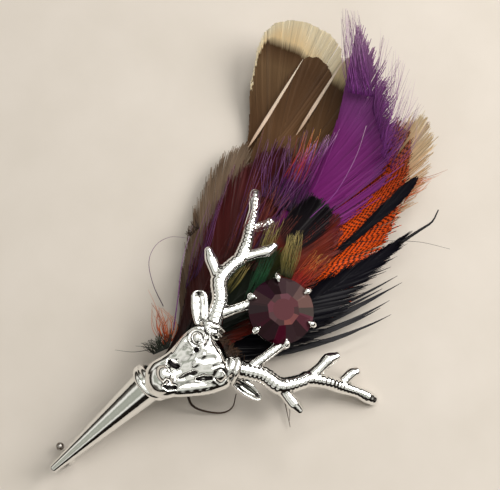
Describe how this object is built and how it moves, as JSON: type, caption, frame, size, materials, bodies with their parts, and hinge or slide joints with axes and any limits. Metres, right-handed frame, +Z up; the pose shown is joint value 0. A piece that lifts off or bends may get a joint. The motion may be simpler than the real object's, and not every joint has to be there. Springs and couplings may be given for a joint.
{
  "type": "stag head brooch",
  "caption": "Plated brooch: a stag's head with branched antlers and a round claw-set stone over a tapered cone that holds a fanned plume of dyed feathers, lying on its pin.",
  "frame": {"origin": "on the surface the brooch lies on, under the middle of the whole brooch's box", "axes": "+Z up from the surface, +Y from the cone's tip towards the antlers and the plume, +X to the side the right antler lies on"},
  "size_m": [0.0676, 0.0906, 0.0152],
  "materials": {
    "plated_casting": "bright rhodium plate, polished, dark in the cast grooves",
    "purple_glass": "cut glass in dark amethyst, polished",
    "pin_wire": "drawn steel wire, bright",
    "cream_brown_feather": "natural feather, brown with a cream tip, satin",
    "tan_feather": "natural feather, tan, satin",
    "orange_feather": "dyed feather, orange red with fine black bars",
    "burgundy_feather": "dyed feather, dark red brown",
    "black_feather": "dyed feather, navy black, satin",
    "purple_feather": "dyed feather, purple",
    "rust_feather": "dyed feather, rust red with a black band",
    "green_feather": "herl feather, dark green with olive gold strands"
  },
  "bodies": {
    "root": {"stag_casting": "plated_casting", "stone": "purple_glass", "brooch_pin": "pin_wire", "cream_feather_left": "cream_brown_feather", "cream_feather_right": "cream_brown_feather", "cream_feather_middle": "cream_brown_feather", "cream_feather_high": "cream_brown_feather", "tan_feather": "tan_feather", "orange_feather": "orange_feather", "burgundy_feather": "burgundy_feather", "black_strip": "black_feather", "black_feather": "black_feather", "purple_feather": "purple_feather", "rust_feather": "rust_feather", "green_feather": "green_feather", "black_biots": "black_feather"}
  },
  "joints": []
}
